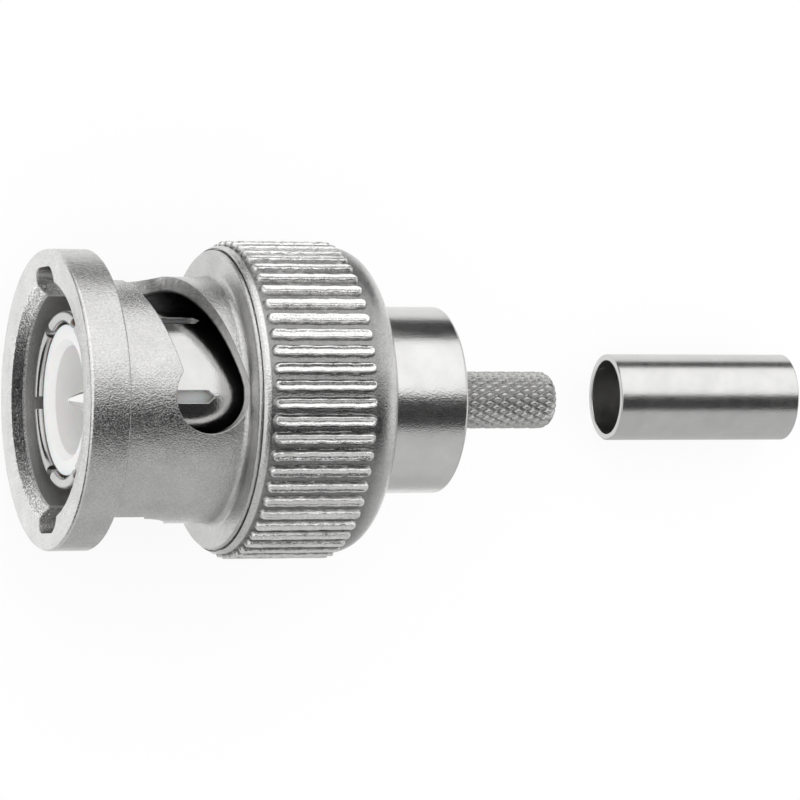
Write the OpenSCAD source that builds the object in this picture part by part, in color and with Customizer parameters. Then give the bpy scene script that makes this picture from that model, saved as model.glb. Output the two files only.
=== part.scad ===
// BNC straight crimp plug for thin coaxial cable, with its crimp ferrule taken off.
// The plug lies on its side on its knurled collar, with its axis along X: the mouth
// faces -X and the cable end faces +X. The origin is the centre of the mouth.
// Every x position is measured from the mouth of the coupling nut at rest. In the
// text, "reach" is a radius and "rise" is the step from one radius to the next.

/* [Outer contact] */
// Outside diameter of the slotted outer contact
contact_d = 8.1; // [7.6:0.05:9.8]
// Wall of the outer contact
contact_wall = 0.55; // [0.4:0.05:0.8]
// How far the finger tips sit behind the mouth of the nut
contact_recess = 0.73; // [0.2:0.01:1]
// Length of outer contact ahead of the gasket
contact_reach = 9.04; // [8.4:0.02:10.9]
// Number of spring fingers
finger_count = 6; // [4:1:8]
// Width of the slits between fingers
slit_w = 0.56; // [0.3:0.02:0.8]
// Length of the slits
slit_len = 5.95; // [4:0.05:6.6]
// Radius of the rounded finger tips
tip_round = 0.22; // [0.1:0.01:0.25]

/* [Body flange and gasket] */
// Rise of the body flange above the outer contact
body_flange_rise = 2.05; // [1.7:0.05:2.4]
// Thickness of the body flange
body_flange_t = 1; // [0.8:0.05:1.4]
// Depth of the groove round the outer contact that holds the gasket
gasket_groove = 0.2; // [0.16:0.01:0.25]
// Thickness of the gasket
gasket_t = 0.8; // [0.6:0.05:1.2]
// Radius on the gasket's outer edges
gasket_round = 0.15; // [0.05:0.01:0.2]

/* [Bayonet sleeve] */
// Radial space round the outer contact, which the jack's shell fills
jack_gap = 0.85; // [0.8:0.01:1.2]
// Wall of the sleeve
sleeve_wall = 0.7; // [0.5:0.05:0.9]
// Rise of the mouth flange above the sleeve
mouth_flange_rise = 1.21; // [0.9:0.01:1.45]
// Width of the mouth flange
mouth_flange_w = 1.89; // [1.4:0.01:2.2]
// Depth of the shallow dish inside the mouth's flat rim
mouth_dish = 0.08; // [0.04:0.01:0.15]
// Depth of the lead-in chamfer between the dish and the bore
mouth_chamfer = 0.5; // [0.3:0.05:0.6]
// Land between the detent holes and the front face of the shoulder
shoulder_land = 0.05; // [0.05:0.05:0.5]
// Rise of the shoulder above the sleeve
shoulder_rise = 1.23; // [1:0.01:1.45]
// Thickness of the shoulder's rim
shoulder_t = 0.45; // [0.3:0.05:0.7]
// Radius where the sleeve blends into its flange and shoulder
root_round = 0.3; // [0.1:0.05:0.4]
// Radius on the sharp outer edges of the nut
edge_round = 0.12; // [0.05:0.01:0.2]

/* [Bayonet slots] */
// Number of slots, one for each stud on the jack
slot_count = 2; // [2:1:3]
// Width of the entry groove inside the mouth flange
entry_w = 2.5; // [2.1:0.05:3]
// Depth of the entry groove into the mouth flange
entry_depth = 1.1; // [0.9:0.05:1.4]
// Radius in the corners of the entry groove
entry_round = 0.6; // [0.2:0.05:0.9]
// Width of the opening through the sleeve behind the entry groove
gate_w = 3.45; // [2.6:0.05:3.8]
// Axial width of the helical slot
slot_w = 2.9; // [2.3:0.05:3.1]
// Position of the helical slot's middle at its entry
slot_x = 4.15; // [3.7:0.01:4.4]
// Axial advance of the slot for a full turn
slot_lead = 9.36; // [7.8:0.01:10]
// Turn from the entry to the detent hole, in degrees
detent_turn = 90; // [85:1:95]
// Diameter of the detent hole
detent_d = 3.4; // [2.9:0.05:4.1]
// Position of the detent hole
detent_x = 6.07; // [5.7:0.01:6.4]

/* [Knurled collar] */
// Rise of the seat for the sleeve above the sleeve's outside
seat_rise = 0.9; // [0.7:0.05:1]
// Wall of the collar outside that seat
collar_wall = 0.51; // [0.4:0.01:0.7]
// How far the collar's front edge sits behind the shoulder's front face
collar_setback = 0.2; // [0.1:0.05:0.3]
// Height of the front bevel of the collar
collar_bevel = 0.12; // [0.05:0.01:0.15]
// Thickness of the collar's rear wall
collar_floor_t = 1.3; // [1:0.05:1.6]
// Radius of the collar's rear corner
collar_round = 1.3; // [0.8:0.05:1.5]
// Number of knurl ridges
ridge_count = 56; // [40:1:64]
// Height of the knurl ridges
ridge_h = 0.24; // [0.15:0.01:0.3]
// Width of a ridge at its foot
ridge_foot = 0.56; // [0.4:0.01:0.62]
// Width of a ridge at its top
ridge_top = 0.3; // [0.15:0.01:0.35]
// Length of the plain band ahead of the knurl
plain_front = 0.4; // [0.3:0.05:0.8]
// Length of the plain band behind the knurl
plain_rear = 1.4; // [1.3:0.05:1.8]

/* [Spring stack] */
// Height of one wave washer at rest
wave_h = 0.75; // [0.6:0.01:0.9]
// Thickness of the spring strip
wave_t = 0.2; // [0.15:0.01:0.25]
// Number of waves round a washer
wave_count = 3; // [3:1:4]
// Thickness of the thrust washer
thrust_t = 0.4; // [0.3:0.05:0.6]

/* [Centre contact] */
// Diameter of the pin
pin_d = 1.35; // [1.2:0.01:1.6]
// Position of the pin's point
pin_x = 1.1; // [1:0.01:1.4]
// Length of the pin's conical point
pin_point = 1; // [0.6:0.05:1.3]
// Diameter of the flat at the end of the point
pin_nose_d = 0.24; // [0.1:0.01:0.4]
// Diameter of the retaining collar on the contact
pin_collar_d = 2.1; // [1.8:0.05:2.4]
// Length of the retaining collar
pin_collar_len = 2; // [1.5:0.1:2.4]
// Depth to which the retaining collar reaches into the rear insulator
pin_collar_seat = 0.3; // [0.1:0.05:0.5]
// Diameter of the neck between the pin and the retaining collar
pin_neck_d = 1.7; // [1.68:0.01:1.9]
// Diameter of the rear barrel
barrel_d = 1.7; // [1.68:0.01:1.9]
// Length of the rear barrel
barrel_len = 2.6; // [2:0.1:3]
// Diameter of the hole for the cable's inner conductor
conductor_d = 0.6; // [0.5:0.05:0.9]
// Depth of that hole
conductor_depth = 2.2; // [1.5:0.1:2.4]

/* [Insulators] */
// Bore of the front insulator, which the jack's insulator enters
insulator_bore_d = 4.95; // [4:0.05:5.5]
// Position of the front insulator's front face
insulator_x = 1; // [0.7:0.01:1.2]
// Thickness of the web between that bore and the contact's retaining collar
insulator_web = 0.9; // [0.5:0.1:1.4]
// Width of the chamfer at the front of the bore
insulator_chamfer = 0.28; // [0.1:0.02:0.35]
// Thickness of the rear insulator
rear_insulator_t = 1.8; // [1.4:0.1:2.2]

/* [Crimp body] */
// Diameter of the crimp body
crimp_d = 8.58; // [7.5:0.02:9.2]
// Length of crimp body behind the collar
crimp_len = 4.1; // [3.4:0.05:5]
// Radius of the crimp body's rear edge
crimp_round = 0.2; // [0.1:0.05:0.4]
// Length of the boss pressed into the outer contact
boss_len = 0.8; // [0.6:0.05:0.9]
// Diameter of the cavity round the contact's barrel
cavity_d = 3.3; // [2.8:0.1:4]
// Depth of that cavity behind the body flange
cavity_depth = 2.4; // [1.8:0.1:3]
// Diameter of the spigot that the braid lies on
spigot_d = 2.64; // [2.3:0.02:3.1]
// Length of the spigot
spigot_len = 5.7; // [4.8:0.05:7]
// Radius at the end of the spigot
spigot_round = 0.42; // [0.2:0.02:0.42]
// Bore for the cable's inner insulation
cable_bore_d = 1.66; // [1.5:0.02:1.7]

/* [Crimp ferrule] */
// Outside diameter of the ferrule
ferrule_d = 4.1; // [3.8:0.02:5]
// Wall of the ferrule
ferrule_wall = 0.3; // [0.2:0.02:0.4]
// Length of the ferrule
ferrule_len = 9.25; // [7.6:0.05:11.1]
// Radius on the ferrule's edges
ferrule_round = 0.08; // [0.04:0.01:0.1]
// Clear distance from the end of the spigot to the ferrule
ferrule_away = 5.05; // [2:0.05:12]
// How far the ferrule lies to the side of the plug's axis
ferrule_aside = 0.32; // [-2:0.02:2]

/* [Fits] */
// Radial clearance of parts that turn or slide on each other
running_gap = 0.06; // [0.03:0.01:0.1]
// Radial clearance of the gasket inside the sleeve
gasket_gap = 0.15; // [0.1:0.01:0.3]
// Radial clearance of the insulator inside the spring fingers
finger_gap = 0.1; // [0.05:0.01:0.15]
// Radial clearance of the springs and the thrust washer inside the collar
stack_gap = 0.1; // [0.05:0.01:0.15]
// Radial clearance round the shoulder's rim, seen as a fine seam
seam_gap = 0.03; // [0.02:0.01:0.06]

/* [Hidden] */
$fn = 96;
// Steps in an arc of an outline
ARC_STEPS = 8;
// Steps in the rounding at the ends of a knurl ridge
RIDGE_STEPS = 3;
// Turn between two sections of a helical slot, in degrees
HELIX_STEP = 5;
// Turn between two sections of a wave washer, in degrees
WAVE_STEP = 5;
// Overshoot of a cutting tool past the face that it opens
CUT = 0.5;
// Turn of the seam of the turned faces from straight down, in degrees
SEAM_TURN = -142;

contact_r = contact_d / 2;
contact_bore_r = contact_r - contact_wall;
sleeve_bore_r = contact_r + jack_gap;
sleeve_r = sleeve_bore_r + sleeve_wall;
mouth_flange_r = sleeve_r + mouth_flange_rise;
entry_r = sleeve_bore_r + entry_depth;
shoulder_r = sleeve_r + shoulder_rise;
seat_r = sleeve_r + seat_rise;
collar_r = seat_r + collar_wall;
knurl_r = collar_r + ridge_h;
gasket_seat_r = contact_r - gasket_groove;
body_flange_r = contact_r + body_flange_rise;
stack_bore_r = body_flange_r + stack_gap;
crimp_r = crimp_d / 2;
washer_bore_r = crimp_r + running_gap;

// Positions along the axis
shoulder_x = detent_x + detent_d / 2 + shoulder_land;
gasket_x = contact_recess + contact_reach;
body_flange_x = gasket_x + gasket_t;
spring_x = body_flange_x + body_flange_t;
thrust_x = spring_x + 2 * wave_h;
collar_floor_x = thrust_x + thrust_t;
collar_end_x = collar_floor_x + collar_floor_t;
crimp_end_x = collar_end_x + crimp_len;
spigot_end_x = crimp_end_x + spigot_len;
boss_x = spring_x - boss_len;
rear_insulator_x = boss_x - rear_insulator_t;
collar_x = shoulder_x + collar_setback;
shoulder_rear_x = shoulder_x + shoulder_t;
knurl_x = collar_x + plain_front;
knurl_end_x = collar_end_x - plain_rear;
barrel_x = rear_insulator_x + pin_collar_seat;
pin_collar_x = barrel_x - pin_collar_len;
barrel_end_x = barrel_x + barrel_len;
insulator_floor_x = pin_collar_x - insulator_web;

// Points [reach, x] of an arc round the centre c, from angle a0 to angle a1
function arc(c, r, a0, a1, steps = ARC_STEPS) =
    [for (i = [0:steps]) let (a = a0 + (a1 - a0) * i / steps) c + r * [cos(a), sin(a)]];

// Points at a given reach round the axis, "turn" degrees from +Y towards +Z
function on_axis(x, reach, turn) = [x, reach * cos(turn), reach * sin(turn)];

// Faces of a tube of quads: "rings" sections of four corners each, closed at its ends
function capped_faces(rings) = concat(
    [[0, 1, 2, 3]],
    [for (i = [0:rings - 2], j = [0:3])
        let (a = 4 * i + j, b = 4 * i + (j + 1) % 4) [a, a + 4, b + 4, b]],
    [[for (j = [3:-1:0]) 4 * (rings - 1) + j]]
);

// The same, with the last section joined to the first
function looped_faces(rings) = [for (i = [0:rings - 1], j = [0:3])
    let (a = 4 * i, b = 4 * ((i + 1) % rings), k = (j + 1) % 4) [a + j, b + j, b + k, a + k]];

// A solid turned round the X axis from an outline of [reach, x] points, with its seam
// on a stretch that no slot, slit or entry groove cuts
module turned(outline) {
    rotate([0, 90, 0]) rotate(SEAM_TURN) rotate_extrude() polygon(outline);
}

// One helical slot: it climbs from the entry at +Y round to the detent hole, and runs out
// in line with the rear of that hole
module helical_slot() {
    inner_r = sleeve_bore_r - CUT;
    outer_r = sleeve_r + CUT;
    rear_x = detent_x + detent_d / 2;
    rings = floor(detent_turn / HELIX_STEP) + 1;
    sections = [
        for (i = [0:rings - 1])
            let (
                turn = i * HELIX_STEP,
                x0 = slot_x + slot_lead * turn / 360 - slot_w / 2,
                x1 = min(x0 + slot_w, rear_x)
            )
                each [
                    on_axis(x0, inner_r, turn), on_axis(x1, inner_r, turn),
                    on_axis(x1, outer_r, turn), on_axis(x0, outer_r, turn)
                ]
    ];
    polyhedron(points = sections, faces = capped_faces(rings));
}

// The round hole at the end of a slot, where the stud drops back and locks
module detent_hole() {
    rotate([detent_turn - 90, 0, 0]) translate([detent_x, 0, sleeve_bore_r - 2 * CUT])
        cylinder(d = detent_d, h = sleeve_wall + 3 * CUT);
}

// The way in for a stud: a blind groove in the mouth flange, then a gate in the sleeve
module entry_groove() {
    groove = entry_w / 2 - entry_round;
    translate([-CUT, 0, 0]) rotate([0, 90, 0]) linear_extrude(mouth_flange_w + 2 * CUT) {
        translate([-entry_w / 2, 0]) square([entry_w, entry_r - entry_round]);
        for (side = [-1, 1]) translate([side * groove, entry_r - entry_round]) circle(entry_round);
        translate([-groove, 0]) square([2 * groove, entry_r]);
    }
    translate([mouth_flange_w, sleeve_bore_r - 2 * CUT, -gate_w / 2])
        cube([slot_x - mouth_flange_w, sleeve_wall + 3 * CUT, gate_w]);
    translate([slot_x, sleeve_bore_r - 2 * CUT, 0]) rotate([-90, 0, 0])
        cylinder(d = slot_w, h = sleeve_wall + 3 * CUT);
}

module bayonet_sleeve() {
    mouth_r = sleeve_bore_r + mouth_chamfer;
    chamfer_x = mouth_dish + mouth_chamfer;
    flange_edge = mouth_flange_r - edge_round;
    rim_edge = shoulder_r - edge_round;
    outline = concat(
        [[sleeve_bore_r, chamfer_x], [mouth_r, mouth_dish], [entry_r, 0]],
        arc([flange_edge, edge_round], edge_round, -90, 0),
        arc([flange_edge, mouth_flange_w - edge_round], edge_round, 0, 90),
        arc([sleeve_r + root_round, mouth_flange_w + root_round], root_round, 270, 180),
        arc([sleeve_r + root_round, shoulder_x - root_round], root_round, 180, 90),
        arc([rim_edge, shoulder_x + edge_round], edge_round, -90, 0),
        [
            [shoulder_r, shoulder_rear_x], [seat_r, shoulder_rear_x],
            [seat_r, body_flange_x], [sleeve_bore_r, body_flange_x]
        ]
    );
    color([0.74, 0.74, 0.73]) difference() {
        turned(outline);
        for (i = [0:slot_count - 1]) rotate([360 / slot_count * i, 0, 0]) {
            entry_groove();
            helical_slot();
            detent_hole();
        }
    }
}

// Outline of the knurl in cross-section: a trapezium for each ridge
function knurl_outline() = [
    for (i = [0:ridge_count - 1], k = [-1, 1], top = k < 0 ? [false, true] : [true, false])
        let (
            reach = top ? knurl_r : collar_r - ridge_h,
            turn = 360 / ridge_count * (i + 1 / 2) + k * (top ? ridge_top : ridge_foot) / knurl_r * 90 / PI
        )
            reach * [cos(turn), sin(turn)]
];

module knurled_collar() {
    front_edge_r = collar_r - collar_bevel;
    corner_r = collar_r - collar_round;
    shell = concat(
        [
            [washer_bore_r, collar_floor_x], [stack_bore_r, collar_floor_x],
            [stack_bore_r, body_flange_x], [seat_r, body_flange_x], [seat_r, shoulder_rear_x],
            [shoulder_r + seam_gap, shoulder_rear_x], [shoulder_r + seam_gap, collar_x],
            [front_edge_r, collar_x], [collar_r, collar_x + collar_bevel]
        ],
        arc([corner_r, collar_end_x - collar_round], collar_round, 0, 90),
        [[washer_bore_r, collar_end_x]]
    );
    envelope = concat(
        [[seat_r + collar_wall / 2, knurl_x], [collar_r, knurl_x]],
        arc([knurl_r - ridge_h, knurl_x + ridge_h], ridge_h, -90, 0, RIDGE_STEPS),
        arc([knurl_r - ridge_h, knurl_end_x - ridge_h], ridge_h, 0, 90, RIDGE_STEPS),
        [[seat_r + collar_wall / 2, knurl_end_x]]
    );
    color([0.76, 0.76, 0.75]) union() {
        turned(shell);
        intersection() {
            turned(envelope);
            translate([knurl_x - CUT, 0, 0]) rotate([0, 90, 0])
                linear_extrude(knurl_end_x - knurl_x + 2 * CUT) polygon(knurl_outline());
        }
    }
}

// A slit between two spring fingers, with a pointed end
module finger_slit() {
    end_x = contact_recess + slit_len;
    linear_extrude(contact_r + CUT) polygon([
        [contact_recess - CUT, -slit_w / 2], [end_x - slit_w / 2, -slit_w / 2], [end_x, 0],
        [end_x - slit_w / 2, slit_w / 2], [contact_recess - CUT, slit_w / 2]
    ]);
}

module outer_contact() {
    outline = concat(
        [[contact_bore_r, spring_x], [contact_bore_r, contact_recess + tip_round]],
        arc([contact_bore_r + tip_round, contact_recess + tip_round], tip_round, 180, 270),
        arc([contact_r - tip_round, contact_recess + tip_round], tip_round, -90, 0),
        [
            [contact_r, gasket_x], [gasket_seat_r, gasket_x], [gasket_seat_r, body_flange_x],
            [body_flange_r, body_flange_x], [body_flange_r, spring_x]
        ]
    );
    color([0.8, 0.8, 0.79]) difference() {
        turned(outline);
        for (i = [0:finger_count - 1]) rotate([360 / finger_count * i, 0, 0]) finger_slit();
    }
}

module crimp_body() {
    rear_edge_r = crimp_r - crimp_round;
    nose_r = spigot_d / 2 - spigot_round;
    outline = concat(
        [
            [cavity_d / 2, boss_x], [contact_bore_r, boss_x], [contact_bore_r, spring_x],
            [crimp_r, spring_x]
        ],
        arc([rear_edge_r, crimp_end_x - crimp_round], crimp_round, 0, 90),
        [[spigot_d / 2, crimp_end_x]],
        arc([nose_r, spigot_end_x - spigot_round], spigot_round, 0, 90),
        [
            [cable_bore_d / 2, spigot_end_x], [cable_bore_d / 2, spring_x + cavity_depth],
            [cavity_d / 2, spring_x + cavity_depth]
        ]
    );
    color([0.82, 0.82, 0.81]) turned(outline);
}

module front_insulator() {
    front_r = contact_bore_r - finger_gap;
    bore_r = insulator_bore_d / 2;
    color([0.95, 0.95, 0.93]) turned([
        [bore_r, insulator_x + insulator_chamfer], [bore_r + insulator_chamfer, insulator_x],
        [front_r, insulator_x], [front_r, contact_recess + slit_len],
        [contact_bore_r, contact_recess + slit_len], [contact_bore_r, rear_insulator_x],
        [pin_collar_d / 2, rear_insulator_x], [pin_collar_d / 2, pin_collar_x],
        [pin_neck_d / 2, pin_collar_x], [pin_neck_d / 2, insulator_floor_x],
        [bore_r, insulator_floor_x]
    ]);
}

module rear_insulator() {
    color([0.93, 0.93, 0.91]) turned([
        [pin_collar_d / 2, rear_insulator_x], [contact_bore_r, rear_insulator_x],
        [contact_bore_r, boss_x], [barrel_d / 2, boss_x], [barrel_d / 2, barrel_x],
        [pin_collar_d / 2, barrel_x]
    ]);
}

module centre_contact() {
    color([0.83, 0.8, 0.7]) turned([
        [0, pin_x], [pin_nose_d / 2, pin_x], [pin_d / 2, pin_x + pin_point],
        [pin_d / 2, insulator_floor_x], [pin_neck_d / 2, insulator_floor_x],
        [pin_neck_d / 2, pin_collar_x], [pin_collar_d / 2, pin_collar_x],
        [pin_collar_d / 2, barrel_x], [barrel_d / 2, barrel_x], [barrel_d / 2, barrel_end_x],
        [conductor_d / 2, barrel_end_x], [conductor_d / 2, barrel_end_x - conductor_depth],
        [0, barrel_end_x - conductor_depth]
    ]);
}

module gasket() {
    outer = sleeve_bore_r - gasket_gap - gasket_round;
    color([0.25, 0.25, 0.26]) turned(concat(
        [[gasket_seat_r, body_flange_x], [gasket_seat_r, gasket_x]],
        arc([outer, gasket_x + gasket_round], gasket_round, -90, 0),
        arc([outer, body_flange_x - gasket_round], gasket_round, 0, 90)
    ));
}

// A wave spring washer that stands from x0 to x0 + wave_h
module wave_washer(x0, phase) {
    inner_r = washer_bore_r + stack_gap;
    outer_r = body_flange_r;
    rings = 360 / WAVE_STEP;
    swing = (wave_h - wave_t) / 2;
    sections = [
        for (i = [0:rings - 1])
            let (turn = i * WAVE_STEP, x = x0 + swing * (1 - cos(wave_count * turn + phase)))
                each [
                    on_axis(x, inner_r, turn), on_axis(x + wave_t, inner_r, turn),
                    on_axis(x + wave_t, outer_r, turn), on_axis(x, outer_r, turn)
                ]
    ];
    color([0.62, 0.6, 0.56]) polyhedron(points = sections, faces = looped_faces(rings));
}

module thrust_washer() {
    color([0.7, 0.68, 0.6]) turned([
        [washer_bore_r, thrust_x], [body_flange_r, thrust_x],
        [body_flange_r, collar_floor_x], [washer_bore_r, collar_floor_x]
    ]);
}

// The ferrule rests on the plane that the collar rests on
module crimp_ferrule() {
    outer_r = ferrule_d / 2;
    inner_r = outer_r - ferrule_wall;
    e = ferrule_round;
    outline = concat(
        arc([inner_r + e, e], e, 180, 270), arc([outer_r - e, e], e, -90, 0),
        arc([outer_r - e, ferrule_len - e], e, 0, 90), arc([inner_r + e, ferrule_len - e], e, 90, 180)
    );
    color([0.82, 0.82, 0.81])
        translate([spigot_end_x + ferrule_away, ferrule_aside, outer_r - knurl_r]) turned(outline);
}

bayonet_sleeve();
knurled_collar();
outer_contact();
crimp_body();
front_insulator();
rear_insulator();
centre_contact();
gasket();
wave_washer(spring_x, 0);  // wave_washer_front
wave_washer(spring_x + wave_h, 180);  // wave_washer_rear
thrust_washer();
crimp_ferrule();
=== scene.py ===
import math
import bpy
import numpy as np
from mathutils import Matrix, Vector


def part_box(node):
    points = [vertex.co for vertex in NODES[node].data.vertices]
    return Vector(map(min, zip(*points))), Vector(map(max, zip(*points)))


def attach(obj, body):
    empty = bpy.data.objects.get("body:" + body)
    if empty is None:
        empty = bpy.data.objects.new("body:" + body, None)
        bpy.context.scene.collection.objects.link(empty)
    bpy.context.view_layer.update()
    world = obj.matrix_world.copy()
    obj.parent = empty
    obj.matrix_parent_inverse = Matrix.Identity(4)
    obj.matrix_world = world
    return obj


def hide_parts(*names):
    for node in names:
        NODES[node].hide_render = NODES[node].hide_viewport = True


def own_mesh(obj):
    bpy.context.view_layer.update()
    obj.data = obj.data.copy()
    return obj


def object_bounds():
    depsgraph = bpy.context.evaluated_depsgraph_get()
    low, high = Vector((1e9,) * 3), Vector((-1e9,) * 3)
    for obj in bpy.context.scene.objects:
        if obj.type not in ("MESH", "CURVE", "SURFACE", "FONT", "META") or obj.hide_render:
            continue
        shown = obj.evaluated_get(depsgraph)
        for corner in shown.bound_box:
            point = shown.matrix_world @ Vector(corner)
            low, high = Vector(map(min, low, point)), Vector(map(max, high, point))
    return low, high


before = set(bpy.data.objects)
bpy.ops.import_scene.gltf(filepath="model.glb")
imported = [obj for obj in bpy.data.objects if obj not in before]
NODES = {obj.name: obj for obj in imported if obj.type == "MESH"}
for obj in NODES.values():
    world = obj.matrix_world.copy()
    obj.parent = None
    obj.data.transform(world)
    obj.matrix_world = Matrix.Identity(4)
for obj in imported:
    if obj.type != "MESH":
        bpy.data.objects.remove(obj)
CAD_BOX = [[float(v) for v in corner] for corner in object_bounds()]
MM = 0.001
TOLERANCE = 1e-6

# The plug's axis is X, and its mouth faces -X. "turn" is an angle round the axis from +Y towards
# +Z, and "reach" is a radius. Lengths are in millimetres until they go into a mesh or a light.


# ================================================================ places, the same as in the CAD
def low(node):
    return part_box(node)[0] / MM


def high(node):
    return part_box(node)[1] / MM


FLOOR_Z = CAD_BOX[0][2] / MM

# The bayonet sleeve
CHAMFER_REACH = 5.41
CHAMFER_END_X = 0.58
SLEEVE_BORE = 4.9
SHOULDER_REAR_X = 8.29
SLEEVE_END_X = 10.57

# The knurled collar
COLLAR_X = 8.02
KNURL_START = 8.42
KNURL_END = 13.37
COLLAR_FLOOR_X = 13.47
COLLAR_END_X = 14.77
COLLAR_HOLE = 4.35
STACK_BORE = 6.2
SLEEVE_SEAT = 6.5
SEAM_REACH = 6.91
KNURL_REACH = 7.25

# The crimp body
BODY_X = 10.77
SPRING_X = 11.57
CAVITY_END_X = 13.97
SPIGOT_X = 18.87
BODY_END_X = 24.57
CABLE_BORE = 0.83
SPIGOT_REACH = 1.32
CAVITY_REACH = 1.65
BARREL_BORE = 3.5
CRIMP_REACH = 4.29


# ================================================================ camera
# The camera looks down on the lying plug, from the side of its mouth.
CAMERA_TARGET = Vector((17.12, 0.0, 0.0)) * MM
CAMERA_PLACE = Vector((-77.03, -8.54, 244.55)) * MM
CAMERA_UP = Vector((0.0, 0.99939, 0.0349))
LENS = 256.05
SENSOR = 36.0
CLIP_START = 0.01
CLIP_END = 10.0


def make_camera():
    data = bpy.data.cameras.new("camera")
    data.lens = LENS
    data.sensor_width = SENSOR
    data.clip_start = CLIP_START
    data.clip_end = CLIP_END
    camera = bpy.data.objects.new("camera", data)
    bpy.context.scene.collection.objects.link(camera)
    ahead = (CAMERA_TARGET - CAMERA_PLACE).normalized()
    right = ahead.cross(CAMERA_UP).normalized()
    turn = Matrix((right, right.cross(ahead), -ahead)).transposed().to_4x4()
    camera.matrix_world = Matrix.Translation(CAMERA_PLACE) @ turn
    bpy.context.scene.camera = camera


# ================================================================ mesh helpers
def new_piece(name, vertices, faces, sharp):
    """A mesh object from vertices in millimetres. Edges steeper than "sharp" degrees stay crisp."""
    mesh = bpy.data.meshes.new(name)
    mesh.from_pydata([tuple(v) for v in np.asarray(vertices) * MM], [], faces)
    mesh.validate()
    piece = bpy.data.objects.new(name, mesh)
    bpy.context.scene.collection.objects.link(piece)
    mesh.shade_smooth()
    mesh.set_sharp_from_angle(angle=math.radians(sharp))
    return piece


def closed_grid(rings, turns):
    """Faces of a grid of rings x turns vertices that closes on itself both ways."""
    faces = []
    for i in range(rings):
        a, b = i * turns, (i + 1) % rings * turns
        for j in range(turns):
            k = (j + 1) % turns
            faces.append((a + j, a + k, b + k, b + j))
    return faces


def turned_piece(name, x, reach, turn, sharp):
    """A ring-shaped solid. "reach" and "x" have one row for each ring, "turn" one entry a column."""
    x = np.broadcast_to(x, reach.shape)
    vertices = np.stack([x, reach * np.cos(turn), reach * np.sin(turn)], axis=-1)
    return new_piece(name, vertices.reshape(-1, 3), closed_grid(*reach.shape), sharp)


def arc(x, reach, radius, start, end, steps):
    """Points (x, reach) of an arc; 0 degrees points outward and 90 towards +X."""
    angles = np.radians(np.linspace(start, end, steps + 1))
    return [(x + radius * math.sin(a), reach + radius * math.cos(a)) for a in angles]


def full_turn(columns):
    """The turns of evenly spread columns."""
    return np.arange(columns) * 2 * math.pi / columns


def smoothstep(t):
    t = np.clip(t, 0, 1)
    return t * t * (3 - 2 * t)


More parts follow.
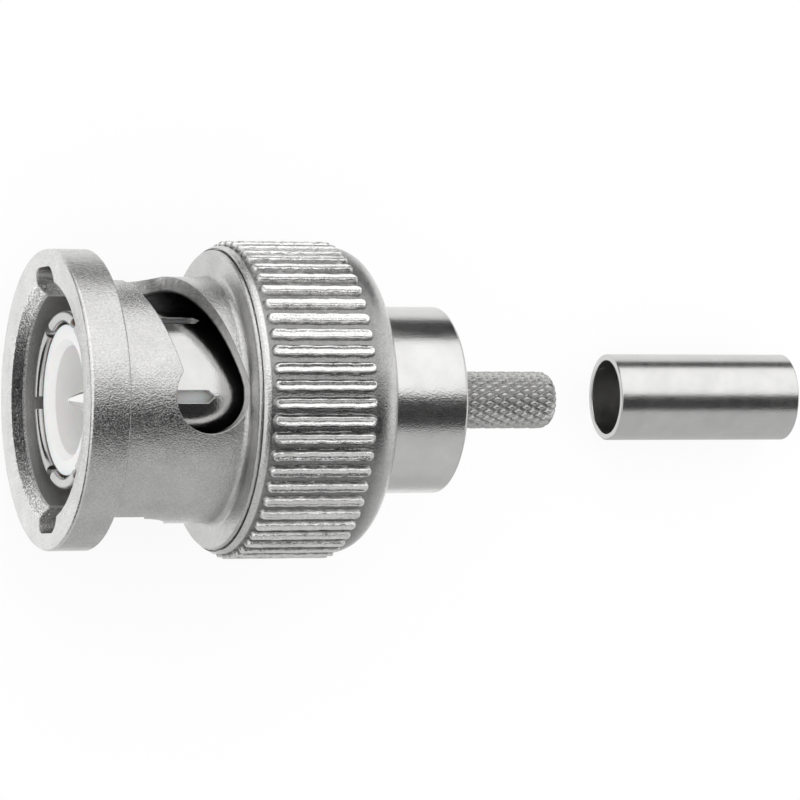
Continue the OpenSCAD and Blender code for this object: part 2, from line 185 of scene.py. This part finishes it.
# ================================================================ materials
class Shader:
    """A node tree that is built by short calls."""

    def __init__(self, name):
        self.material = bpy.data.materials.new(name)
        self.material.use_nodes = True
        self.tree = self.material.node_tree
        self.tree.nodes.clear()
        self.out = self.node("ShaderNodeOutputMaterial")

    def node(self, kind, **settings):
        made = self.tree.nodes.new(kind)
        for key, value in settings.items():
            setattr(made, key, value)
        return made

    def link(self, source, target):
        self.tree.links.new(source, target)

    def maths(self, operation, *values):
        made = self.node("ShaderNodeMath", operation=operation)
        for socket, value in zip(made.inputs, values):
            if isinstance(value, (int, float)):
                socket.default_value = value
            else:
                self.link(value, socket)
        return made.outputs[0]

    def place(self, stretch=(1, 1, 1)):
        """Object coordinates in millimetres, divided by "stretch"."""
        source = self.node("ShaderNodeTexCoord").outputs["Object"]
        mapping = self.node("ShaderNodeMapping")
        mapping.inputs["Scale"].default_value = [1 / MM / s for s in stretch]
        self.link(source, mapping.inputs["Vector"])
        return mapping.outputs[0]

    def noise(self, place, size, detail=2.0, roughness=0.5):
        """Noise with features about "size" millimetres across."""
        made = self.node("ShaderNodeTexNoise")
        made.inputs["Scale"].default_value = 1 / size
        made.inputs["Detail"].default_value = detail
        made.inputs["Roughness"].default_value = roughness
        self.link(place, made.inputs["Vector"])
        return made.outputs["Fac"]

    def ramp(self, value, stops):
        made = self.node("ShaderNodeValToRGB")
        while len(made.color_ramp.elements) < len(stops):
            made.color_ramp.elements.new(0.5)
        for element, (at, colour) in zip(made.color_ramp.elements, stops):
            element.position = at
            element.color = (*colour, 1)
        self.link(value, made.inputs["Fac"])
        return made.outputs["Color"]

    def spread(self, value, start, end, low_value=0.0, high_value=1.0):
        """The value from its low to its high moved to the range from start to end."""
        made = self.node("ShaderNodeMapRange")
        made.inputs["From Min"].default_value = low_value
        made.inputs["From Max"].default_value = high_value
        made.inputs["To Min"].default_value = start
        made.inputs["To Max"].default_value = end
        self.link(value, made.inputs["Value"])
        return made.outputs[0]

    def reach(self, place):
        """Distance from the plug's axis in millimetres."""
        radial = self.node("ShaderNodeVectorMath", operation="MULTIPLY")
        radial.inputs[1].default_value = (0, 1, 1)
        self.link(place, radial.inputs[0])
        length = self.node("ShaderNodeVectorMath", operation="LENGTH")
        self.link(radial.outputs[0], length.inputs[0])
        return length.outputs["Value"]

    def along(self, place):
        """Place along the plug's axis in millimetres."""
        split = self.node("ShaderNodeSeparateXYZ")
        self.link(place, split.inputs[0])
        return split.outputs["X"]

    def metal_colour(self, tone):
        """A slightly warm grey of that tone."""
        colour = self.node("ShaderNodeCombineColor")
        self.link(tone, colour.inputs[0])
        self.link(self.maths("MULTIPLY", tone, WARM_GREEN), colour.inputs[1])
        self.link(self.maths("MULTIPLY", tone, WARM_BLUE), colour.inputs[2])
        return colour.outputs[0]

    def rounded(self, radius):
        """Normals that round the edges by that many millimetres."""
        rounding = self.node("ShaderNodeBevel", samples=6)
        rounding.inputs["Radius"].default_value = radius * MM
        return rounding.outputs[0]

    def bump(self, height, depth, below=None):
        """A bump whose full height is "depth" millimetres, laid over another one."""
        made = self.node("ShaderNodeBump")
        made.inputs["Distance"].default_value = depth * MM
        self.link(height, made.inputs["Height"])
        if below is not None:
            self.link(below, made.inputs["Normal"])
        return made.outputs["Normal"]

    def surface(self, colour, roughness, normal, **fixed):
        """The finished material. "fixed" sets the shader's own sockets."""
        shader = self.node("ShaderNodeBsdfPrincipled")
        self.link(colour, shader.inputs["Base Color"])
        self.link(roughness, shader.inputs["Roughness"])
        self.link(normal, shader.inputs["Normal"])
        for socket, value in fixed.items():
            shader.inputs[socket.replace("_", " ")].default_value = value
        self.link(shader.outputs[0], self.out.inputs["Surface"])
        return self.material


# A grey's green and blue, as shares of its red
WARM_GREEN = 0.995
WARM_BLUE = 0.985

# Most values of a noise lie between these
NOISE_MIDDLE = (0.3, 0.7)

# A cut knurl is duller and rougher than the turned surface in front of it
CUT_DULLING = 0.22
CUT_ROUGHENING = 0.16
LATHE_STRETCH = (0.03, 3.0, 3.0)
LATHE_DEPTH = 0.0006

# Painted shade on the collar: full tone on its crests, darkened colour in the hollows between them,
# and duller tones at both ends
HOLLOW_REACH = 7.04
CREST_REACH = 7.18
HOLLOW_SHADE_TONE = 0.34
FRONT_TONE = 0.8
REAR_TONE = (0.3, 0.8)

# The mouth: the rim's face is lightened as a painted highlight, the chamfer is pitted, and the bore
# is rough near the mouth and darkened further in as painted shade
RIM_HIGHLIGHT = 1.35
RIM_FADE_X = (0.09, 0.16)
PIT_TONE = (-0.65, 0.9)
PIT_MIDDLE = (0.36, 0.64)
BORE_ROUGHNESS = 0.55
BORE_SHADE = 1.3
BORE_FADE_X = (2.3, 2.7)


def grey(level):
    return (level, level * WARM_GREEN, level * WARM_BLUE)


def turned_nickel(name, tone, rough, grain_depth, swell_depth, edge=0.0, knurl_x=None):
    """Plate on a turned part: cloudy tone, fine grain, slow swell and lathe lines round the axis.
    Behind "knurl_x" the surface is cut."""
    s = Shader(name)
    place = s.place()
    cloud = s.noise(place, size=1.6, detail=3.0, roughness=0.6)
    tone = s.spread(cloud, tone * 0.9, tone, *NOISE_MIDDLE)
    roughness = s.spread(s.noise(place, size=0.5), rough * 0.8, rough * 1.25)
    if knurl_x is not None:
        cut = s.spread(s.along(place), 0.0, 1.0, knurl_x, knurl_x + 0.05)
        darkened = s.maths("SUBTRACT", 1.0, s.maths("MULTIPLY", cut, CUT_DULLING))
        tone = s.maths("MULTIPLY", tone, darkened)
        roughness = s.maths("ADD", roughness, s.maths("MULTIPLY", cut, CUT_ROUGHENING))
    below = s.rounded(edge) if edge else None
    below = s.bump(s.noise(s.place(LATHE_STRETCH), size=1.0, detail=1.0), LATHE_DEPTH, below)
    below = s.bump(s.noise(place, size=0.7, detail=1.0), swell_depth, below)
    normal = s.bump(s.noise(place, size=0.08, detail=1.0, roughness=0.4), grain_depth, below)
    return s.surface(s.metal_colour(tone), roughness, normal, Metallic=1.0)


def knurl_shade_tone(s, place, tone):
    """The collar's tone with painted shade: the crests keep their full tone, and the hollows between
    them are darkened.
    """
    along = s.along(place)
    # Painted shade: the colour falls to the hollow tone between the ridges
    raised = s.spread(s.reach(place), HOLLOW_SHADE_TONE, 1.0, HOLLOW_REACH, CREST_REACH)
    front = s.spread(along, FRONT_TONE, 0.0, KNURL_START - 0.12, KNURL_START)
    rear = s.spread(along, *REAR_TONE, KNURL_END, COLLAR_END_X - 0.4)
    hollow_shade = s.maths("MAXIMUM", raised, s.maths("MAXIMUM", front, rear))
    return s.maths("MULTIPLY", tone, hollow_shade)


def rim_tone(s, place, tone):
    """The mouth's tone: the face lightened as a painted highlight, and dark and light pits in the
    chamfer inside it.
    """
    along = s.along(place)
    # Painted highlight: the colour of the rim's face is lightened
    face = s.spread(along, RIM_HIGHLIGHT, 1.0, *RIM_FADE_X)
    tone = s.maths("MULTIPLY", tone, face)
    pits = s.noise(place, size=0.07, roughness=0.7)
    pits = s.spread(pits, *PIT_TONE, *PIT_MIDDLE)
    inside = s.spread(s.reach(place), 1.0, 0.0, CHAMFER_REACH, CHAMFER_REACH + 0.05)
    before = s.spread(along, 1.0, 0.0, CHAMFER_END_X - 0.03, CHAMFER_END_X)
    pits = s.maths("MULTIPLY", pits, s.maths("MULTIPLY", inside, before))
    return s.maths("MULTIPLY", tone, s.maths("ADD", 1.0, pits))


def bore_finish_and_shade(s, place, tone, roughness):
    """The bore's tone and roughness: rough near the mouth, and darkened further in as painted shade.
    """
    along = s.along(place)
    bore = s.spread(s.reach(place), BORE_ROUGHNESS, 0.0, SLEEVE_BORE + 0.06, SLEEVE_BORE + 0.12)
    near = s.spread(along, 1.0, 0.0, *BORE_FADE_X)
    roughness = s.maths("MAXIMUM", roughness, s.maths("MULTIPLY", bore, near))
    # Painted shade: deeper in, the bore's colour is darkened
    deep = s.spread(along, 0.0, BORE_SHADE, *BORE_FADE_X)
    darkened = s.maths("SUBTRACT", 1.0, s.maths("MULTIPLY", bore, deep))
    return s.maths("MULTIPLY", tone, darkened), roughness


def cast_nickel(name, tone, rough, edge=0.0, knurled=False, mouth=False):
    """Plate on a die casting: speckled and cloudy tone, lumps and orange-peel grain."""
    s = Shader(name)
    place = s.place()
    speckle = s.spread(s.noise(place, size=0.09, roughness=0.6), 0.84, 1.06, *NOISE_MIDDLE)
    cloud = s.noise(place, size=1.5, detail=3.0, roughness=0.6)
    cloud = s.spread(cloud, tone * 0.88, tone * 1.04, *NOISE_MIDDLE)
    tone = s.maths("MULTIPLY", speckle, cloud)
    roughness = s.spread(s.noise(place, size=0.25), rough * 0.75, rough * 1.3)
    if knurled:
        # Painted shade in the knurl's hollows
        tone = knurl_shade_tone(s, place, tone)
    if mouth:
        # Painted highlight on the rim's face, and painted shade deep in the bore
        tone = rim_tone(s, place, tone)
        tone, roughness = bore_finish_and_shade(s, place, tone, roughness)
    below = s.rounded(edge) if edge else None
    below = s.bump(s.noise(place, size=0.5, detail=1.0), 0.008, below)
    normal = s.bump(s.noise(place, size=0.075, roughness=0.6), 0.024, below)
    return s.surface(s.metal_colour(tone), roughness, normal, Metallic=1.0)


def moulded(name, level, rough, grain=0.15, grain_depth=0.001, subsurface=0.0):
    """A plastic or rubber."""
    s = Shader(name)
    place = s.place()
    colour = s.ramp(s.noise(place, size=1.2), [(0.3, grey(level * 0.96)), (0.7, grey(level))])
    roughness = s.spread(s.noise(place, size=0.3), rough * 0.85, rough * 1.15)
    normal = s.bump(s.noise(place, grain), grain_depth)
    fixed = {"Subsurface_Weight": subsurface, "Subsurface_Scale": 0.5 * MM}
    return s.surface(colour, roughness, normal, Specular_IOR_Level=0.5, **fixed)


def make_materials():
    return {
        # nut: painted highlight on the rim's face and painted shade deep in the bore
        "nut": cast_nickel("nut_nickel", 0.62, 0.15, edge=0.07, mouth=True),
        # knurl: painted shade in the hollows between the ridges
        "knurl": cast_nickel("knurl_nickel", 0.9, 0.18, knurled=True),
        "contact": turned_nickel("contact_nickel", 0.62, 0.15, 0.003, 0.0015, edge=0.05),
        "body": turned_nickel("body_nickel", 0.69, 0.22, 0.006, 0.002, knurl_x=SPIGOT_X),
        "ferrule": turned_nickel("ferrule_nickel", 0.66, 0.24, 0.004, 0.001),
        "pin": turned_nickel("pin_plate", 0.95, 0.14, 0.001, 0.0, edge=0.03),
        "spring": turned_nickel("spring_metal", 0.6, 0.25, 0.002, 0.0),
        "washer": turned_nickel("washer_brass", 0.62, 0.3, 0.002, 0.0),
        "insulator": moulded("insulator_white", 0.97, 0.45, subsurface=0.3),
        "gasket": moulded("gasket_rubber", 0.07, 0.6, grain=0.1, grain_depth=0.003),
    }


def dress(piece, material):
    piece.data.materials.clear()
    piece.data.materials.append(material)


# ================================================================ knurled collar
RIDGES = 56
RIDGE_RISE = 0.24
RIDGE_TOP = 0.17
RIDGE_FOOT = 0.29
RIDGE_DISH = 0.055
RIDGE_DISH_HALF = 0.17
RIDGE_WOBBLE = 0.018
RIDGE_SWELL = 0.05
SHELL_REACH = KNURL_REACH - RIDGE_RISE
BEVEL = 0.12
CORNER = 1.3

# Distances from the knurl's ends at which a ring lies, and from a ridge's middle for a column
RING_STEPS = np.array([0.0, 0.03, 0.06, 0.09, 0.12, 0.16, 0.22, RIDGE_FOOT])
COLUMN_STEPS = np.array([0.04, 0.08, 0.12, 0.15, 0.17, 0.19, 0.21, 0.23, 0.26, 0.29, 0.34])


def collar_outline():
    """Points (x, reach) of the collar without its ridges, back along the outside and home inside.
    A shallow counterbore in front leaves a dark seam round the sleeve's shoulder."""
    middle = np.linspace(KNURL_START + RIDGE_FOOT, KNURL_END - RIDGE_FOOT, 18)[1:-1]
    knurl_xs = (*(KNURL_START + RING_STEPS), *middle, *(KNURL_END - RING_STEPS[::-1]))
    outer = [(COLLAR_X, SEAM_REACH + 0.01), (COLLAR_X + 0.02, SEAM_REACH + 0.03)]
    outer += [(COLLAR_X + BEVEL - 0.03, SHELL_REACH - 0.02)]
    outer += [(COLLAR_X + BEVEL + 0.03, SHELL_REACH)]
    outer += [(KNURL_START - 0.05, SHELL_REACH)]
    outer += [(x, SHELL_REACH) for x in knurl_xs]
    outer += [(KNURL_END + 0.05, SHELL_REACH)]
    outer += arc(COLLAR_END_X - CORNER, SHELL_REACH - CORNER, CORNER, 0, 88, 12)
    inner = [(COLLAR_END_X, COLLAR_HOLE + 0.06), (COLLAR_END_X - 0.06, COLLAR_HOLE)]
    inner += [(COLLAR_FLOOR_X, COLLAR_HOLE), (COLLAR_FLOOR_X, STACK_BORE)]
    inner += [(SLEEVE_END_X, STACK_BORE), (SLEEVE_END_X, SLEEVE_SEAT)]
    inner += [(SHOULDER_REAR_X, SLEEVE_SEAT), (SHOULDER_REAR_X, SEAM_REACH)]
    inner += [(COLLAR_X, SEAM_REACH)]
    return np.array(outer + inner)


def ridge_columns():
    """For each column its turn, its distance from its ridge's middle, and its ridge's number."""
    pitch = 2 * math.pi / RIDGES
    half = COLUMN_STEPS / KNURL_REACH
    steps = np.concatenate([-half[::-1], [0.0], half, [pitch / 2]])
    turn = (np.arange(RIDGES)[:, None] * pitch + pitch / 2 + steps).ravel()
    across = np.tile(steps, RIDGES) * KNURL_REACH
    ridge = np.repeat(np.arange(RIDGES), len(steps))
    return turn, across, ridge


def ridge_rise(x, across, ridge):
    """How far a ridge stands out: rounded ends, slightly uneven flanks and a hollow crest."""
    rng = np.random.RandomState(7)
    phase = rng.uniform(0, 2 * math.pi, (4, RIDGES))[:, ridge]
    wobble = RIDGE_WOBBLE * (np.sin(x * 5.3 + phase[0]) + np.sin(x * 11.7 + phase[1]))
    swell = RIDGE_SWELL * np.sin(x * 7.9 + phase[2]) + RIDGE_SWELL * np.sin(x * 14.0 + phase[3])
    past = np.maximum(0, np.maximum(KNURL_START + RIDGE_FOOT - x, x - KNURL_END + RIDGE_FOOT))
    away = np.hypot(across + wobble, past)
    rise = RIDGE_RISE * smoothstep((RIDGE_FOOT - away) / (RIDGE_FOOT - RIDGE_TOP))
    rise = rise * (1 - 0.5 * abs(swell))
    sink = np.where(away < RIDGE_DISH_HALF, 1 + np.cos(math.pi * away / RIDGE_DISH_HALF), 0) / 2
    return rise - RIDGE_DISH * sink


def make_collar():
    """The collar with rounded ridges, as cast."""
    points = collar_outline()
    x, plain = points[:, :1], points[:, 1:]
    turn, across, ridge = ridge_columns()
    between = (x >= KNURL_START - TOLERANCE) & (x <= KNURL_END + TOLERANCE)
    knurled = between & (plain > SHELL_REACH - TOLERANCE)
    reach = plain + np.where(knurled, ridge_rise(x, across, ridge), 0)
    piece = turned_piece("knurled_collar_cast", x, reach, turn, sharp=40)
    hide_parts("knurled_collar")
    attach(piece, "coupling_nut")
    return piece


# ================================================================ crimp body and spigot
CRIMP_ROUND = 0.2
SPIGOT_ROUND = 0.6
SPIGOT_NOSE = SPIGOT_REACH - SPIGOT_ROUND
SPIGOT_RINGS = 110
CRIMP_COLUMNS = 280
DIAMONDS = 20
DIAMOND_LENGTH = 0.74
DIAMOND_FLANK = 0.62
GROOVE_DEPTH = 0.14
GROOVE_JITTER = 0.006


def crimp_outline():
    """Points (x, reach) of the crimp body without its knurl, from the flange back and home inside."""
    shoulder = CRIMP_REACH - CRIMP_ROUND
    outer = [(SPRING_X, CRIMP_REACH), (SPIGOT_X - CRIMP_ROUND, CRIMP_REACH)]
    outer += arc(SPIGOT_X - CRIMP_ROUND, shoulder, CRIMP_ROUND, 8, 90, 8)
    outer += [(SPIGOT_X, shoulder - 0.03), (SPIGOT_X, SPIGOT_REACH + 0.03)]
    spigot_xs = np.linspace(SPIGOT_X, BODY_END_X - SPIGOT_ROUND, SPIGOT_RINGS)
    outer += [(x, SPIGOT_REACH) for x in spigot_xs]
    outer += arc(BODY_END_X - SPIGOT_ROUND, SPIGOT_NOSE, SPIGOT_ROUND, 8, 90, 10)
    inner = [(BODY_END_X, CABLE_BORE + 0.04), (BODY_END_X - 0.04, CABLE_BORE)]
    inner += [(CAVITY_END_X, CABLE_BORE), (CAVITY_END_X, CAVITY_REACH), (BODY_X, CAVITY_REACH)]
    inner += [(BODY_X, BARREL_BORE), (SPRING_X, BARREL_BORE)]
    return np.array(outer + inner)


def diamond_cut(x, turn):
    """Depth of two crossing sets of helical grooves, slightly uneven, which leave diamonds."""
    around = turn * DIAMONDS / (2 * math.pi)
    along = (x - SPIGOT_X) / DIAMOND_LENGTH
    rng = np.random.RandomState(11)
    jitter = rng.uniform(-1, 1, (len(x), len(turn)))
    first = abs((around + along) % 1 - 0.5) * 2
    second = abs((around - along) % 1 - 0.5) * 2
    pyramid = smoothstep(np.minimum(1 - first, 1 - second) / DIAMOND_FLANK)
    return np.maximum(GROOVE_DEPTH * (1 - pyramid) + GROOVE_JITTER * jitter, 0)


def make_crimp_body():
    """The turned crimp body with its knurled spigot."""
    points = crimp_outline()
    x, plain = points[:, :1], points[:, 1:]
    turn = full_turn(CRIMP_COLUMNS)
    knurled = (plain <= SPIGOT_REACH + TOLERANCE) & (plain > SPIGOT_NOSE) & (x > SPIGOT_X + 0.02)
    reach = plain - np.where(knurled, diamond_cut(x, turn), 0)
    piece = turned_piece("crimp_body_turned", x, reach, turn, sharp=35)
    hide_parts("crimp_body")
    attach(piece, "connector_body")
    return piece


# ================================================================ wave washers
WAVES = 3
WASHER_COLUMNS = 120
STRIP = 0.2
STRIP_EDGE = 0.04


def make_wave_washer(node, phase):
    """A wave spring; the real one flattens when the nut is pushed forward, and this one is built in
    its free, waved shape.
    """
    lo, hi = low(node), high(node)
    turn = full_turn(WASHER_COLUMNS)
    swing = (hi.x - lo.x - STRIP) / 2
    wave = lo.x + swing * (1 - np.cos(WAVES * turn + phase))
    inner, outer, e = COLLAR_HOLE + 0.1, hi.z, STRIP_EDGE
    profile = [(0, inner + e), (0, outer - e), (e, outer), (STRIP - e, outer),
               (STRIP, outer - e), (STRIP, inner + e), (STRIP - e, inner), (e, inner)]
    points = np.array(profile)
    reach = np.repeat(points[:, 1:], WASHER_COLUMNS, axis=1)
    piece = turned_piece(node + "_spring", points[:, :1] + wave, reach, turn, sharp=50)
    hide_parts(node)
    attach(piece, "connector_body")
    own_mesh(piece)
    return piece


# ================================================================ CAD nodes
def dress_nodes(materials):
    chosen = {
        "bayonet_sleeve": "nut", "outer_contact": "contact", "front_insulator": "insulator",
        "rear_insulator": "insulator", "centre_contact": "pin", "gasket": "gasket",
        "thrust_washer": "washer", "crimp_ferrule": "ferrule", "knurled_collar": "knurl",
        "crimp_body": "body", "wave_washer_front": "spring", "wave_washer_rear": "spring",
    }
    for node, key in chosen.items():
        dress(NODES[node], materials[key])


# ================================================================ floor, cards and light
FLOOR_HALF = 900
FLOOR_GLOW = 0.88
FLOOR_PAINT = 0.96

# The cards stand a little off the floor, and the overhead one is above the camera
CARD_Z = FLOOR_Z + 0.1
CEILING_Z = 256
SIDE_Y = -200
FAR_X = 500

SOFTBOX_PLACE = Vector((60, 210, 210)) * MM
SOFTBOX_AIM = Vector((15, 0, 0)) * MM
SOFTBOX_WIDTH = 0.8
SOFTBOX_DEPTH = 0.4
SOFTBOX_RADIANCE = 0.35


def stage_plane(name, corners, material):
    mesh = bpy.data.meshes.new(name)
    mesh.from_pydata([tuple(c * MM for c in corner) for corner in corners], [], [(0, 1, 2, 3)])
    plane = bpy.data.objects.new(name, mesh)
    bpy.context.scene.collection.objects.link(plane)
    mesh.materials.append(material)
    return plane


def card(name, corners, material):
    """A card that only shows in reflections."""
    plane = stage_plane(name, corners, material)
    plane.visible_camera = False
    plane.visible_diffuse = False
    plane.visible_shadow = False


def floor_material():
    """White for the camera and for reflections, and it keeps a faint shadow."""
    s = Shader("floor_white")
    path = s.node("ShaderNodeLightPath").outputs
    seen = s.maths("MAXIMUM", path["Is Camera Ray"], path["Is Glossy Ray"])
    seen = s.maths("MAXIMUM", seen, path["Is Transmission Ray"])
    glow = s.maths("MULTIPLY", seen, FLOOR_GLOW)
    paint = s.node("ShaderNodeBsdfDiffuse")
    paint.inputs["Color"].default_value = (FLOOR_PAINT, FLOOR_PAINT, FLOOR_PAINT, 1)
    light = s.node("ShaderNodeEmission")
    mix = s.node("ShaderNodeMixShader")
    s.link(glow, mix.inputs[0])
    s.link(paint.outputs[0], mix.inputs[1])
    s.link(light.outputs[0], mix.inputs[2])
    s.link(mix.outputs[0], s.out.inputs["Surface"])
    return s.material


def card_material(name, level):
    s = Shader(name)
    glow = s.node("ShaderNodeEmission")
    glow.inputs["Color"].default_value = (level, level, level, 1)
    s.link(glow.outputs[0], s.out.inputs["Surface"])
    return s.material


def flat(x0, x1, y0, y1, z):
    return [(x0, y0, z), (x1, y0, z), (x1, y1, z), (x0, y1, z)]


def upright_y(x0, x1, y, z0, z1):
    return [(x0, y, z0), (x1, y, z0), (x1, y, z1), (x0, y, z1)]


def upright_x(x, y0, y1, z0, z1):
    return [(x, y0, z0), (x, y1, z0), (x, y1, z1), (x, y0, z1)]


def make_floor():
    corners = flat(-FLOOR_HALF, FLOOR_HALF, -FLOOR_HALF, FLOOR_HALF, FLOOR_Z)
    stage_plane("floor", corners, floor_material())


def make_cards():
    """Grey cards round the plug, for the dark and middle bands that the bright metal shows."""
    dark = card_material("card_dark", 0.03)
    dim = card_material("card_dim", 0.12)
    mid = card_material("card_mid", 0.62)
    light = card_material("card_light", 0.68)
    card("card_overhead", flat(-20, FAR_X, SIDE_Y, 18, CEILING_Z), dark)
    card("card_side", upright_y(-400, FAR_X, SIDE_Y, FLOOR_Z, CEILING_Z), mid)
    card("card_below", flat(-400, FAR_X, SIDE_Y, -9, CARD_Z), mid)
    card("card_mouth", upright_x(-9, -20, 22, CARD_Z, 1.2), dark)
    card("card_pin", upright_x(-9, -20, -0.5, 1.2, 5.2), dark)
    card("card_low", upright_y(21.3, 33, 21, CARD_Z, 6.8), dark)
    card("card_low_ferrule", upright_y(31, 60, 11, CARD_Z, -2.9), dark)
    card("card_below_ferrule", flat(28, 60, -9, -1.9, CARD_Z), mid)
    card("card_low_nut", upright_y(-9, 21.2, 21, CARD_Z, 1), dim)
    card("card_crimp", upright_y(22, 36, -26, FLOOR_Z + 0.2, 30), light)


def make_world():
    """An even white surround."""
    world = bpy.data.worlds.new("tent")
    bpy.context.scene.world = world
    world.use_nodes = True
    tree = world.node_tree
    tree.nodes.clear()
    surround = tree.nodes.new("ShaderNodeOutputWorld")
    back = tree.nodes.new("ShaderNodeBackground")
    back.inputs["Color"].default_value = (1, 1, 1, 1)
    tree.links.new(back.outputs[0], surround.inputs["Surface"])


def make_softbox():
    lamp = bpy.data.lights.new("softbox", "AREA")
    lamp.shape = "RECTANGLE"
    lamp.size = SOFTBOX_WIDTH
    lamp.size_y = SOFTBOX_DEPTH
    lamp.energy = SOFTBOX_RADIANCE * math.pi * lamp.size * lamp.size_y
    softbox = bpy.data.objects.new("softbox", lamp)
    bpy.context.scene.collection.objects.link(softbox)
    softbox.location = SOFTBOX_PLACE
    away = softbox.location - SOFTBOX_AIM
    softbox.rotation_mode = "QUATERNION"
    softbox.rotation_quaternion = away.to_track_quat("Z", "X")


# ================================================================ the whole
make_camera()
MATERIALS = make_materials()
dress_nodes(MATERIALS)
dress(make_collar(), MATERIALS["knurl"])
dress(make_crimp_body(), MATERIALS["body"])
dress(make_wave_washer("wave_washer_front", phase=0.0), MATERIALS["spring"])
dress(make_wave_washer("wave_washer_rear", phase=math.pi), MATERIALS["spring"])
make_floor()
make_cards()
make_world()
make_softbox()
bpy.context.scene.view_settings.view_transform = "Standard"
